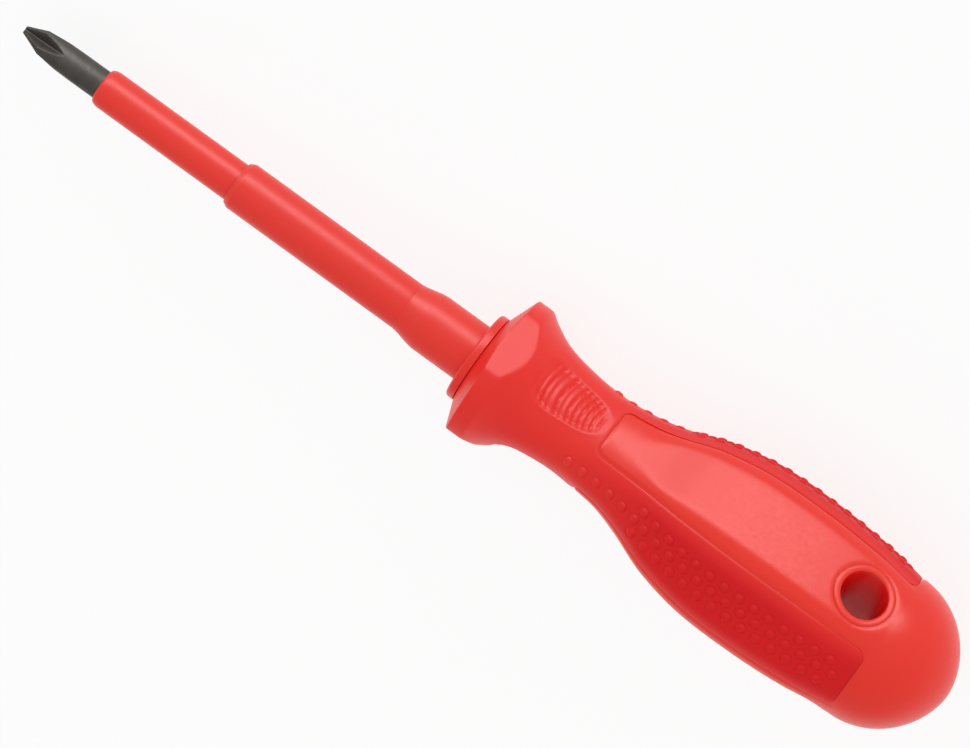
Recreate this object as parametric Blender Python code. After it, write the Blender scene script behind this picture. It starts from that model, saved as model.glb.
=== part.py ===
"""Insulated cross-head screwdriver with a three-lobed, multi-part moulded handle.

Metres, +Z up. The blade's axis lies along X with the tip towards +X, and the tool lies on one
of its three handle faces, with z = 0 under that face.

Every piece is modelled in the tool's own frame, carried by the empty "tool_axis": local +X runs
from the tip to the butt, so a local x is a station, the distance behind the tip. Angles about the
axis are counted in the local YZ plane, from +Y towards +Z.
"""

import math

import bmesh
import bpy
from mathutils import Matrix, Vector

# ---- driving dimensions ---------------------------------------------------------------------
TOTAL_LENGTH = 0.2167
GAP = 0.0003  # left between neighbouring pieces

# blade
BLADE_RADIUS = 0.0030
TIP_FLAT_RADIUS = 0.00085
TIP_SHOULDER_RADIUS = 0.00285
TIP_CONE_LENGTH = 0.0042
GROUND_LENGTH = 0.0120
FLUTE_COUNT = 4
FIRST_FLUTE = math.radians(49)  # direction of one flute about the axis
FLUTE_LENGTH = 0.0094
FLUTE_ROOT_AT_TIP = 0.00055
FLUTE_FLOOR_HALF_WIDTH = 0.00012
FLUTE_ANGLE = math.radians(49)  # half angle of the groove
FLUTE_EVEN_RISE = 0.35  # share of the root's rise that is even; the rest comes near the end
FLUTE_RINGS = 10
BLADE_END = 0.1810
BLADE_END_CHAMFER = 0.0006
WING_REACH = 0.0046
WING_THICKNESS = 0.0016
WINGS = ((0.1580, 0.1680, 0.0), (0.1705, 0.1785, math.pi / 2))  # start, end, turn about the axis

# two insulating sleeves
INNER_SLEEVE_START = 0.0183
INNER_SLEEVE_RADIUS = 0.00403
INNER_SLEEVE_NOSE = 0.0019
SLEEVE_LIP = 0.0001  # flat left around the bore at the nose
INNER_SLEEVE_END = 0.1460
OUTER_SLEEVE_START = 0.0502
OUTER_SLEEVE_RADIUS = 0.00503
OUTER_SLEEVE_CHAMFER = (0.0009, 0.0006)  # along, and inwards
OUTER_SLEEVE_END = 0.1400
SWELL_START = 0.0906
SWELL_END = 0.0962
SWELL_RADIUS = 0.00603

# collar in front of the guard
COLLAR_FRONT = 0.1060
COLLAR_REAR = 0.1078
COLLAR_RADIUS = 0.0093
COLLAR_ROUND = 0.0009
COLLAR_SEAT = 0.0009  # depth of the recess that the outer sleeve's end sits in
SPIGOT_RADIUS = 0.0066
SPIGOT_END = 0.1120

# handle outline
GUARD_FRONT = COLLAR_REAR + GAP
GUARD_FRONT_RADIUS = 0.0096
RIM_START = 0.1104
RIM_END = 0.1137
RIM_RADIUS = 0.01555
RIM_ROUND = 0.0003
GUARD_FLAT_HEIGHT = 0.0138
FLARE_END = 0.1200
NECK_STATION = 0.1325
NECK_RADIUS = 0.0103
BELLY_STATION = 0.1780
BELLY_RADIUS = 0.01805
DOME_START = 0.2004
DOME_RADIUS = 0.0156
DOME_EXPONENT = 0.55  # 0.5 would be a half ellipse
NECK_LOBING = 0.095  # how much nearer the axis the neck is between its three lobes
NECK_LOBING_RISE = (0.1155, 0.1240)
NECK_LOBING_FALL = (0.1400, 0.1520)

# three faces and the soft tongues between them
FACE_ANGLES = tuple(math.radians(a) for a in (30, 150, 270))
EYE_ANGLE = FACE_ANGLES[0]
FACE_START = 0.1364
FACE_HALF_ANGLE = math.radians(32)
FACE_FLATNESS = 0.925  # face distance over lobe radius at the belly
FACE_FRONT_FLATNESS = 0.955
LOBE_FLATNESS = 0.958  # each lobe carries a narrow flat of its own, where the tongue lies
LOBE_FRONT_FLATNESS = 0.975
LOBE_REAR_FLATNESS = 0.985
LOBE_FLAT_START = 0.1220
NO_FACE = 1.15
EDGE_SHARPNESS = 40
FACE_RISE = 0.0030  # length of the slope at a face's front
FACE_DEEPEST = 0.1630
FACE_FADE = (0.1944, 0.2094)
LOBE_FADE = 0.1860
FACE_CORNER = 0.0015
TONGUE_END = 0.2000
TONGUE_CORNER = 0.0020
SHORT_TONGUE_END = 0.1844  # the tongue behind the hanging hole stops in front of it
SOFT_THICKNESS = 0.0022

# thumb rests on the neck
THUMB_STATION = 0.1267
THUMB_HALF_LENGTH = 0.0083
THUMB_HALF_ANGLE = math.radians(27)
THUMB_TAPER = 0.12
THUMB_SLOPE_START = 0.70  # share of the way out where the slope up to the border begins
THUMB_DEPTH = 0.00045

# core
CORE_NECK_RADIUS = 0.0076
CORE_FLANGE = (0.1108, 0.1130, 0.0118)  # start, end, radius
CORE_WAIST = (0.1320, 0.1500, 0.0062)
CORE_REAR_START = 0.1530
CORE_REAR_RADIUS = 0.0095
CORE_END = 0.1840
SHELL_FRONT = 0.1340

# hanging hole
EYE_STATION = 0.1930
EYE_HOLE_RADIUS = 0.004775
EYE_RING_RADIUS = 0.0061
EYE_BACK_HALF_WIDTH = 0.0125  # the hard material around the hole, where the third tongue stops
EYE_BACK_BOTTOM = 0.0030

HANDLE_SEGMENTS = 48
ROUND_SEGMENTS = 32
PAD_BOTTOM = 0.0020  # distance from the axis where the cutters of the faces begin
OFF_SEAM = 0.0002  # keeps edges of one solid off the planes that cut it
PAST_FACE = 0.0005  # how far a cutter passes a flat end
PAST_TONGUES = 0.0020
LEAST_STEP = 0.0004  # shortest distance between the rings of a loft
FAR = 0.025  # reach of a cutter that must pass the handle's surface


# ---- outline of the handle ------------------------------------------------------------------
def smooth_step(value, low, high):
    """0 below low, 1 above high, with a smooth change between."""
    t = min(1.0, max(0.0, (value - low) / (high - low)))
    return t * t * (3 - 2 * t)


def curve_through(points, x):
    """Cubic curve through (x, y) points, with slopes taken from each point's neighbours."""
    def slope(i):
        a = points[max(i - 1, 0)]
        b = points[min(i + 1, len(points) - 1)]
        return (b[1] - a[1]) / (b[0] - a[0])

    i = max(k for k in range(len(points) - 1) if k == 0 or points[k][0] <= x)
    (x0, y0), (x1, y1) = points[i], points[i + 1]
    width = x1 - x0
    t = (x - x0) / width
    start = (2 * t**3 - 3 * t**2 + 1) * y0 + (t**3 - 2 * t**2 + t) * width * slope(i)
    end = (3 * t**2 - 2 * t**3) * y1 + (t**3 - t**2) * width * slope(i + 1)
    return start + end


GRIP_OUTLINE = (
    (RIM_END, RIM_RADIUS),
    (0.1160, 0.0140),
    (FLARE_END, 0.0121),
    (0.1255, 0.0109),
    (NECK_STATION, NECK_RADIUS),
    (0.1415, 0.0111),
    (0.1480, 0.0127),
    (0.1560, 0.0157),
    (0.1660, 0.0177),
    (BELLY_STATION, BELLY_RADIUS),
    (0.1900, 0.01735),
    (DOME_START, DOME_RADIUS),
)


def lobe_radius(station):
    """Largest radius of the handle at a station."""
    if station < RIM_START:
        t = (station - GUARD_FRONT) / (RIM_START - GUARD_FRONT)
        return GUARD_FRONT_RADIUS + t * (RIM_RADIUS - GUARD_FRONT_RADIUS)
    if station <= RIM_END:
        return RIM_RADIUS
    if station <= DOME_START:
        return curve_through(GRIP_OUTLINE, station)
    t = (station - DOME_START) / (TOTAL_LENGTH - DOME_START)
    return DOME_RADIUS * max(0.0, 1 - t * t) ** DOME_EXPONENT


def face_flatness(station):
    """Distance of the faces from the axis, over the lobe radius; above 1 there is no face."""
    begin = smooth_step(station, FACE_START, FACE_START + FACE_RISE)
    deepen = smooth_step(station, FACE_START, FACE_DEEPEST)
    finish = smooth_step(station, *FACE_FADE)
    flat = FACE_FRONT_FLATNESS + deepen * (FACE_FLATNESS - FACE_FRONT_FLATNESS)
    return flat + (1 - begin) * (NO_FACE - flat) + finish * (NO_FACE - flat)


def lobe_flatness(station):
    """The same for the narrow flats on the lobes, which end with the soft tongues."""
    if station > DOME_START:
        return NO_FACE
    begin = smooth_step(station, LOBE_FLAT_START, FACE_START)
    deepen = smooth_step(station, FACE_START, FACE_DEEPEST)
    rise = smooth_step(station, LOBE_FADE, DOME_START)
    flat = LOBE_FRONT_FLATNESS + deepen * (LOBE_FLATNESS - LOBE_FRONT_FLATNESS)
    flat += rise * (LOBE_REAR_FLATNESS - flat)
    return flat + (1 - begin) * (NO_FACE - flat)


def from_nearest_face(angle):
    """Angle to the middle of the nearest face, at most 60 degrees either way."""
    third = 2 * math.pi / 3
    return (angle - FACE_ANGLES[0] + third / 2) % third - third / 2


def thumb_dent(station, off_face):
    """Depth of the thumb rest: a shallow oval, narrower towards the butt."""
    along = (station - THUMB_STATION) / THUMB_HALF_LENGTH
    across = off_face / (THUMB_HALF_ANGLE * (1 - THUMB_TAPER * along))
    return THUMB_DEPTH * (1 - smooth_step(math.hypot(along, across), THUMB_SLOPE_START, 1.0))


def neck_roundness(station, off_face):
    """Radius of the neck over the lobe radius: a circle drawn in between its three lobes."""
    share = smooth_step(station, *NECK_LOBING_RISE) * (1 - smooth_step(station, *NECK_LOBING_FALL))
    return 1 - NECK_LOBING * share * (1 + math.cos(3 * off_face)) / 2


def section_radius(station, angle):
    """Radius of the handle's surface: a rounded body softly cut by the flats of faces and lobes."""
    off_face = from_nearest_face(angle)
    off_lobe = math.pi / 3 - abs(off_face)
    lobe = lobe_radius(station)
    if lobe == 0:
        return 0
    face = face_flatness(station) / math.cos(off_face)
    lobe_flat = lobe_flatness(station) / math.cos(off_lobe)
    body = neck_roundness(station, off_face)
    total = body**-EDGE_SHARPNESS + face**-EDGE_SHARPNESS + lobe_flat**-EDGE_SHARPNESS
    return lobe * total ** (-1 / EDGE_SHARPNESS) - thumb_dent(station, off_face)


AXIS_HEIGHT = section_radius(BELLY_STATION, FACE_ANGLES[2])


# ---- scene and mesh helpers -----------------------------------------------------------------
def clear_scene():
    for item in list(bpy.data.objects):
        bpy.data.objects.remove(item, do_unlink=True)


def make_material(name, colour, roughness, metallic=0.0):
    material = bpy.data.materials.new(name)
    material.use_nodes = True
    shader = material.node_tree.nodes["Principled BSDF"]
    shader.inputs["Base Color"].default_value = (*colour, 1.0)
    shader.inputs["Roughness"].default_value = roughness
    shader.inputs["Metallic"].default_value = metallic
    material.diffuse_color = (*colour, 1.0)
    return material


def add_object(name, bm, parent):
    bmesh.ops.recalc_face_normals(bm, faces=bm.faces)
    mesh = bpy.data.meshes.new(name)
    bm.to_mesh(mesh)
    bm.free()
    item = bpy.data.objects.new(name, mesh)
    item.parent = parent
    bpy.context.collection.objects.link(item)
    return item


def add_piece(name, bm, parent, material):
    item = add_object(name, bm, parent)
    item.data.materials.append(material)
    item.data.shade_smooth()
    item.data.set_sharp_from_angle(angle=math.radians(30))
    return item


def add_cutter(name, bm, parent):
    item = add_object("cut_" + name, bm, parent)
    item.hide_render = True
    item.display_type = "WIRE"
    return item


def combine(item, other, operation):
    modifier = item.modifiers.new(operation.lower() + "_" + other.name, "BOOLEAN")
    modifier.operation = operation
    modifier.solver = "EXACT"
    modifier.object = other


def around_axis(station, radius, angle):
    return Vector((station, radius * math.cos(angle), radius * math.sin(angle)))


def join_rings(bm, rings):
    for front, rear in zip(rings, rings[1:]):
        count = max(len(front), len(rear))
        for i in range(count):
            j = (i + 1) % count
            corners = [front[i % len(front)], front[j % len(front)]]
            corners += [rear[j % len(rear)], rear[i % len(rear)]]
            bm.faces.new(list(dict.fromkeys(corners)))


def turned(profile, closed=False, segments=ROUND_SEGMENTS):
    """Solid of revolution from (station, radius) points; a closed profile makes a tube."""
    bm = bmesh.new()
    rings = []
    for station, radius in profile:
        count = segments if radius > 0 else 1
        angles = [2 * math.pi * i / segments for i in range(count)]
        rings.append([bm.verts.new(around_axis(station, radius, a)) for a in angles])
    if closed:
        rings.append(rings[0])
    join_rings(bm, rings)
    return bm


def handle_loft(stations, inset=0.0):
    """Closed solid inside the handle's surface, with flat ends, or a pole at the butt."""
    bm = bmesh.new()
    rings = []
    for station in stations:
        count = 1 if station >= TOTAL_LENGTH else HANDLE_SEGMENTS
        ring = []
        for i in range(count):
            angle = FACE_ANGLES[0] + 2 * math.pi * i / HANDLE_SEGMENTS
            radius = 0 if count == 1 else section_radius(station, angle) - inset
            ring.append(bm.verts.new(around_axis(station, radius, angle)))
        rings.append(ring)
    join_rings(bm, rings)
    for ring in (rings[0], rings[-1]):
        if len(ring) > 1:
            bm.faces.new(ring)
    return bm


def spread(start, end, count):
    """Evenly spaced values from start to end, both included."""
    return [start + (end - start) * i / count for i in range(count + 1)]


def prism(outline, low, high, angle):
    """Outline of (station, side) points, extruded outwards along a direction about the axis."""
    bm = bmesh.new()
    out = Vector((0, math.cos(angle), math.sin(angle)))
    side = Vector((0, -math.sin(angle), math.cos(angle)))
    rings = []
    for height in (low, high):
        rings.append([bm.verts.new(Vector((x, 0, 0)) + side * w + out * height) for x, w in outline])
    join_rings(bm, rings)
    bm.faces.new(rings[0])
    bm.faces.new(rings[1])
    return bm


def box(start, end, side, low, high, angle):
    outline = ((start, -side), (end, -side), (end, side), (start, side))
    return prism(outline, low, high, angle)


def cross_cylinder(radius, reach, segments=ROUND_SEGMENTS):
    """Cylinder across the handle, along the hanging hole."""
    angles = [2 * math.pi * i / segments for i in range(segments)]
    outline = [(EYE_STATION + radius * math.cos(a), radius * math.sin(a)) for a in angles]
    return prism(outline, -reach, reach, EYE_ANGLE)


# ---- blade ----------------------------------------------------------------------------------
def flute_cutter(turn):
    """V groove whose root rises from the tip and runs out on the shank."""
    bm = bmesh.new()
    rings = []
    reach = 2 * BLADE_RADIUS
    for station in spread(-PAST_FACE, FLUTE_LENGTH + OFF_SEAM, FLUTE_RINGS):
        t = max(0.0, station) / FLUTE_LENGTH
        rise = FLUTE_EVEN_RISE * t + (1 - FLUTE_EVEN_RISE) * t**3
        root = FLUTE_ROOT_AT_TIP + (BLADE_RADIUS - FLUTE_ROOT_AT_TIP) * rise
        floor = FLUTE_FLOOR_HALF_WIDTH
        half = (reach - root) * math.tan(FLUTE_ANGLE)
        corners = ((root, -floor), (root, floor), (reach, half), (reach, -half))
        ring = []
        for out, side in corners:
            point = Vector((station, out, side))
            ring.append(bm.verts.new(Matrix.Rotation(turn, 3, "X") @ point))
        rings.append(ring)
    join_rings(bm, rings)
    bm.faces.new(rings[0])
    bm.faces.new(rings[-1])
    return bm


def wing_box(start, end, turn, grow):
    reach = WING_REACH + grow
    return box(start - grow, end + grow, WING_THICKNESS / 2 + grow, -reach, reach, turn)


def build_blade(parent):
    profile = (
        (0, 0),
        (0, TIP_FLAT_RADIUS),
        (TIP_CONE_LENGTH, TIP_SHOULDER_RADIUS),
        (GROUND_LENGTH, BLADE_RADIUS),
        (BLADE_END - BLADE_END_CHAMFER, BLADE_RADIUS),
        (BLADE_END, BLADE_RADIUS - BLADE_END_CHAMFER),
        (BLADE_END, 0),
    )
    steel = make_material("blackened_steel", (0.075, 0.066, 0.060), 0.42, 0.85)
    blade = add_piece("blade", turned(profile), parent, steel)
    for n, (start, end, turn) in enumerate(WINGS):
        wing = add_cutter(f"wing_{n}", wing_box(start, end, turn, 0), parent)
        combine(blade, wing, "UNION")
    for n in range(FLUTE_COUNT):
        turn = FIRST_FLUTE + 2 * math.pi * n / FLUTE_COUNT
        combine(blade, add_cutter(f"flute_{n}", flute_cutter(turn), parent), "DIFFERENCE")


# ---- sleeves and collar ---------------------------------------------------------------------
def build_sleeves(parent):
    plastic = make_material("sleeve_plastic", (0.78, 0.060, 0.038), 0.38)
    bore = BLADE_RADIUS + GAP
    nose_end = INNER_SLEEVE_START + INNER_SLEEVE_NOSE
    nose_rise = INNER_SLEEVE_RADIUS - bore - SLEEVE_LIP
    inner = [(INNER_SLEEVE_START, bore)]
    for i in range(6):
        t = math.pi / 2 * i / 5
        station = nose_end - INNER_SLEEVE_NOSE * math.cos(t)
        inner.append((station, INNER_SLEEVE_RADIUS - nose_rise * (1 - math.sin(t))))
    inner += [(INNER_SLEEVE_END, INNER_SLEEVE_RADIUS), (INNER_SLEEVE_END, bore)]
    add_piece("inner_sleeve", turned(inner, closed=True), parent, plastic)

    outer_plastic = make_material("outer_sleeve_plastic", (0.78, 0.055, 0.036), 0.36)
    outer_bore = INNER_SLEEVE_RADIUS + GAP
    along, inwards = OUTER_SLEEVE_CHAMFER
    outer = [
        (OUTER_SLEEVE_START, outer_bore),
        (OUTER_SLEEVE_START, OUTER_SLEEVE_RADIUS - inwards),
        (OUTER_SLEEVE_START + along, OUTER_SLEEVE_RADIUS),
    ]
    for station in spread(SWELL_START, SWELL_END, 4):
        rise = smooth_step(station, SWELL_START, SWELL_END)
        outer.append((station, OUTER_SLEEVE_RADIUS + rise * (SWELL_RADIUS - OUTER_SLEEVE_RADIUS)))
    shoulder = COLLAR_FRONT + COLLAR_SEAT - GAP
    outer += [
        (shoulder, SWELL_RADIUS),
        (shoulder, OUTER_SLEEVE_RADIUS),
        (OUTER_SLEEVE_END, OUTER_SLEEVE_RADIUS),
        (OUTER_SLEEVE_END, outer_bore),
    ]
    add_piece("outer_sleeve", turned(outer, closed=True), parent, outer_plastic)


def build_collar(parent):
    bore = OUTER_SLEEVE_RADIUS + GAP
    seat = SWELL_RADIUS + GAP
    profile = [(COLLAR_FRONT + COLLAR_SEAT, bore), (COLLAR_FRONT + COLLAR_SEAT, seat)]
    profile.append((COLLAR_FRONT, seat))
    for i in range(5):
        t = math.pi / 2 * i / 4
        station = COLLAR_FRONT + COLLAR_ROUND * (1 - math.cos(t))
        profile.append((station, COLLAR_RADIUS - COLLAR_ROUND * (1 - math.sin(t))))
    profile += [
        (COLLAR_REAR, COLLAR_RADIUS),
        (COLLAR_REAR, SPIGOT_RADIUS),
        (SPIGOT_END, SPIGOT_RADIUS),
        (SPIGOT_END, bore),
    ]
    plastic = make_material("collar_plastic", (0.80, 0.058, 0.034), 0.35)
    add_piece("nose_collar", turned(profile, closed=True), parent, plastic)


# ---- handle core ----------------------------------------------------------------------------
def core_outside(grow):
    """Outer profile of the core, or of the space it needs."""
    flange_start, flange_end, flange_radius = CORE_FLANGE
    waist_start, waist_end, waist_radius = CORE_WAIST
    return [
        (GUARD_FRONT - 3 * grow, CORE_NECK_RADIUS + grow),
        (flange_start - grow, CORE_NECK_RADIUS + grow),
        (flange_start - grow, flange_radius + grow),
        (flange_end + grow, flange_radius + grow),
        (flange_end + grow, CORE_NECK_RADIUS + grow),
        (waist_start + grow, CORE_NECK_RADIUS + grow),
        (waist_start + grow, waist_radius + grow),
        (waist_end, waist_radius + grow),
        (CORE_REAR_START, CORE_REAR_RADIUS + grow),
        (CORE_END + grow, CORE_REAR_RADIUS + grow),
    ]


def build_core(parent):
    profile = core_outside(0) + [
        (CORE_END, 0),
        (BLADE_END + GAP, 0),
        (BLADE_END + GAP, BLADE_RADIUS + GAP),
        (INNER_SLEEVE_END + GAP, BLADE_RADIUS + GAP),
        (INNER_SLEEVE_END + GAP, INNER_SLEEVE_RADIUS + GAP),
        (OUTER_SLEEVE_END + GAP, INNER_SLEEVE_RADIUS + GAP),
        (OUTER_SLEEVE_END + GAP, OUTER_SLEEVE_RADIUS + GAP),
        (SPIGOT_END + GAP, OUTER_SLEEVE_RADIUS + GAP),
        (SPIGOT_END + GAP, SPIGOT_RADIUS + GAP),
        (GUARD_FRONT, SPIGOT_RADIUS + GAP),
    ]
    bm = turned(profile[:11])
    inner = turned(profile[11:])
    inner_mesh = bpy.data.meshes.new("core_bore")
    inner.to_mesh(inner_mesh)
    inner.free()
    bm.from_mesh(inner_mesh)
    bpy.data.meshes.remove(inner_mesh)
    bm.edges.ensure_lookup_table()
    open_edges = [edge for edge in bm.edges if edge.is_boundary]
    bmesh.ops.bridge_loops(bm, edges=open_edges)
    plastic = make_material("core_plastic", (0.55, 0.035, 0.028), 0.45)
    core = add_piece("handle_core", bm, parent, plastic)
    for n, (start, end, turn) in enumerate(WINGS):
        pocket = add_cutter(f"wing_pocket_{n}", wing_box(start, end, turn, GAP), parent)
        combine(core, pocket, "DIFFERENCE")


# ---- handle shell and soft grip -------------------------------------------------------------
def face_outline(grow):
    """Outline of one hard face seen square on, from its round front corners to the butt."""
    front = FACE_START - grow
    end = TONGUE_END - grow + OFF_SEAM
    corner = FACE_CORNER + grow
    side = []
    for i in range(5):
        t = math.pi / 2 * i / 4
        station = front + corner * (1 - math.cos(t))
        width = lobe_radius(front + corner) * math.sin(FACE_HALF_ANGLE) + grow
        side.append((station, width - corner * (1 - math.sin(t))))
    for station in spread(front + corner, end - TONGUE_CORNER, 14)[1:]:
        side.append((station, lobe_radius(station) * math.sin(FACE_HALF_ANGLE) + grow))
    last = side[-1][1]
    for i in range(1, 5):
        t = math.pi / 2 * i / 4
        station = end - TONGUE_CORNER + TONGUE_CORNER * math.sin(t)
        side.append((station, last + TONGUE_CORNER * (1 - math.cos(t))))
    side.append((TONGUE_END + 2 * PAST_TONGUES, side[-1][1]))
    return side + [(station, -width) for station, width in reversed(side)]


def face_pads(name, grow, parent):
    """Cutters for the three hard faces and for the hard back of the hanging hole."""
    pads = []
    for n, angle in enumerate(FACE_ANGLES):
        bm = prism(face_outline(grow), PAD_BOTTOM, FAR + PAST_FACE, angle)
        pads.append(add_cutter(f"{name}_{n}", bm, parent))
    start = SHORT_TONGUE_END - grow
    end = TONGUE_END + PAST_TONGUES
    back = box(start, end, EYE_BACK_HALF_WIDTH, EYE_BACK_BOTTOM, 2 * FAR, EYE_ANGLE + math.pi)
    pads.append(add_cutter(name + "_back", back, parent))
    return pads


def grip_stations(start, end):
    """Stations of the handle's loft between two ends, closer together where it curves."""
    marks = spread(GUARD_FRONT, RIM_START - RIM_ROUND, 2) + [RIM_START + RIM_ROUND, RIM_END]
    marks += spread(RIM_END, FLARE_END, 3)[1:]
    marks += spread(FLARE_END, FACE_START - OFF_SEAM, 7)[1:]
    marks += spread(FACE_START + OFF_SEAM, FACE_START + FACE_RISE, 2)
    marks += spread(FACE_START + FACE_RISE, BELLY_STATION, 10)[1:]
    marks += spread(BELLY_STATION, DOME_START, 5)[1:]
    for i in range(1, 8):
        angle = math.pi / 2 * i / 7
        marks.append(DOME_START + (TOTAL_LENGTH - DOME_START) * math.sin(angle))
    inside = [mark for mark in marks if start + LEAST_STEP < mark < end - LEAST_STEP]
    return [start] + inside + [end]


def core_space(start, end, name, parent):
    """Room for the core between two stations."""
    profile = [(station, radius) for station, radius in core_outside(GAP)]
    kept = [(s, r) for s, r in profile if start < s < end]
    bm = turned([(start, 0), (start, kept[0][1])] + kept + [(end, kept[-1][1]), (end, 0)])
    return add_cutter(name, bm, parent)


def build_shell(parent, eye_space):
    plastic = make_material("shell_plastic", (0.80, 0.060, 0.036), 0.36)
    loft = handle_loft(grip_stations(SHELL_FRONT, TOTAL_LENGTH))
    shell = add_piece("handle_shell", loft, parent, plastic)
    start = COLLAR_FRONT
    drum = turned(
        ((start, 0), (start, FAR), (TONGUE_END, FAR), (TONGUE_END, 0)), segments=HANDLE_SEGMENTS
    )
    soft_space = add_cutter("soft_space", drum, parent)
    stations = grip_stations(SHELL_FRONT - PAST_FACE, TONGUE_END + PAST_TONGUES)
    floor = handle_loft(stations, SOFT_THICKNESS)
    for pad in face_pads("pad", 0, parent):
        combine(soft_space, pad, "DIFFERENCE")
    combine(soft_space, add_cutter("tongue_floor", floor, parent), "DIFFERENCE")
    combine(shell, soft_space, "DIFFERENCE")
    combine(shell, core_space(NECK_STATION, CORE_END + GAP, "core_in_shell", parent), "DIFFERENCE")
    combine(shell, eye_space, "DIFFERENCE")


def build_soft_grip(parent):
    rubber = make_material("soft_grip_rubber", (0.66, 0.032, 0.030), 0.55)
    end = TONGUE_END - GAP
    grip = add_piece("soft_grip", handle_loft(grip_stations(GUARD_FRONT, end)), parent, rubber)
    for n, angle in enumerate(FACE_ANGLES):
        flat = box(COLLAR_FRONT, FLARE_END, RIM_RADIUS, GUARD_FLAT_HEIGHT, FAR, angle)
        combine(grip, add_cutter(f"guard_flat_{n}", flat, parent), "DIFFERENCE")
    combine(grip, core_space(COLLAR_FRONT, SHELL_FRONT, "core_in_grip", parent), "DIFFERENCE")
    stations = grip_stations(SHELL_FRONT - GAP, TONGUE_END + PAST_TONGUES)
    shell_space = handle_loft(stations, SOFT_THICKNESS - GAP)
    combine(grip, add_cutter("shell_in_grip", shell_space, parent), "DIFFERENCE")
    for pad in face_pads("pad_space", GAP, parent):
        combine(grip, pad, "DIFFERENCE")


def build_eye(parent):
    plastic = make_material("eye_plastic", (0.82, 0.070, 0.040), 0.36)
    eye = add_piece("hang_eye", cross_cylinder(EYE_RING_RADIUS, FAR), parent, plastic)
    hole = add_cutter("eye_hole", cross_cylinder(EYE_HOLE_RADIUS, 2 * FAR), parent)
    combine(eye, hole, "DIFFERENCE")
    around = handle_loft(grip_stations(EYE_STATION - 2 * EYE_RING_RADIUS, EYE_STATION + 2 * EYE_RING_RADIUS))
    combine(eye, add_cutter("eye_outline", around, parent), "INTERSECT")


def main():
    clear_scene()
    axis = bpy.data.objects.new("tool_axis", None)
    bpy.context.collection.objects.link(axis)
    axis.location = (TOTAL_LENGTH / 2, 0, AXIS_HEIGHT)
    axis.rotation_euler = (0, 0, math.pi)
    build_blade(axis)
    build_sleeves(axis)
    build_collar(axis)
    build_core(axis)
    eye_space = add_cutter("eye_space", cross_cylinder(EYE_RING_RADIUS + GAP, FAR), axis)
    build_shell(axis, eye_space)
    build_soft_grip(axis)
    build_eye(axis)


main()
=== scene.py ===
"""Looks of the insulated cross-head screwdriver: fine meshes, moulded plastics, studio, camera.

Metres, in the row frame. A station is a distance behind the tip, along -X. Angles about the tool's
axis are counted from -Y towards +Z, as seen from behind the butt, so 90 degrees points up.
"""

import math

import bmesh
import bpy
import numpy as np
from mathutils import Matrix, Vector


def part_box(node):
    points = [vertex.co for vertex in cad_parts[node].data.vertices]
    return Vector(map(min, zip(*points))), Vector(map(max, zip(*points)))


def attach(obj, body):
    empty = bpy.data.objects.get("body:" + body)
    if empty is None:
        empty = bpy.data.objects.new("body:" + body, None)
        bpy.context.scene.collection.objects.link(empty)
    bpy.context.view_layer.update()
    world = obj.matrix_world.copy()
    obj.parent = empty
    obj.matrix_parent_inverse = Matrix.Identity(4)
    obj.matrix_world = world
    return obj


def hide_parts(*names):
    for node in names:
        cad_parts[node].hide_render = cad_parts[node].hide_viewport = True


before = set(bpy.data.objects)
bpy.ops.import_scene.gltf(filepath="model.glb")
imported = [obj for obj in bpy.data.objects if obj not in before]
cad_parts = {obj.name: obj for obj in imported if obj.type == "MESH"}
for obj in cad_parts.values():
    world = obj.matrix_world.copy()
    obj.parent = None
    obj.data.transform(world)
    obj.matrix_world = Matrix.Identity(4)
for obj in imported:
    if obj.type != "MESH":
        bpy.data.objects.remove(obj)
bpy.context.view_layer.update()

# ---- sizes shared with the CAD model --------------------------------------------------------
TOTAL_LENGTH = 0.2167
HALF_LENGTH = TOTAL_LENGTH / 2
BLADE_RADIUS = 0.0030
TIP_FLAT_RADIUS = 0.00085
TIP_SHOULDER_RADIUS = 0.00285
TIP_CONE_LENGTH = 0.0042
GROUND_LENGTH = 0.0120
FIRST_FLUTE = math.radians(49)
FLUTE_LENGTH = 0.0094
FLUTE_ROOT_AT_TIP = 0.00055
FLUTE_FLOOR_HALF_WIDTH = 0.00012
FLUTE_ANGLE = math.radians(49)
FLUTE_EVEN_RISE = 0.35
BLADE_END = 0.1810

INNER_SLEEVE_START = 0.0183
INNER_SLEEVE_RADIUS = 0.00403
INNER_SLEEVE_NOSE = 0.0019
INNER_SLEEVE_END = 0.1460
OUTER_SLEEVE_START = 0.0502
OUTER_SLEEVE_RADIUS = 0.00503
OUTER_SLEEVE_END = 0.1400
SWELL_START = 0.0906
SWELL_END = 0.0962
SWELL_RADIUS = 0.00603

COLLAR_FRONT = 0.1060
COLLAR_REAR = 0.1078
COLLAR_RADIUS = 0.0093
COLLAR_ROUND = 0.0009
COLLAR_SEAT = 0.0009
SPIGOT_RADIUS = 0.0066
SPIGOT_END = 0.1120

GUARD_FRONT = 0.1081
GUARD_FRONT_RADIUS = 0.0096
RIM_START = 0.1104
RIM_END = 0.1137
RIM_RADIUS = 0.01555
GUARD_FLAT_HEIGHT = 0.0138
FLARE_END = 0.1200
BELLY_STATION = 0.1780
DOME_START = 0.2004
DOME_RADIUS = 0.0156
DOME_EXPONENT = 0.55
NECK_LOBING = 0.095
NECK_LOBING_RISE = (0.1155, 0.1240)
NECK_LOBING_FALL = (0.1400, 0.1520)
GRIP_OUTLINE = (
    (RIM_END, RIM_RADIUS),
    (0.1160, 0.0140),
    (FLARE_END, 0.0121),
    (0.1255, 0.0109),
    (0.1325, 0.0103),
    (0.1415, 0.0111),
    (0.1480, 0.0127),
    (0.1560, 0.0157),
    (0.1660, 0.0177),
    (BELLY_STATION, 0.01805),
    (0.1900, 0.01735),
    (DOME_START, DOME_RADIUS),
)

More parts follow.
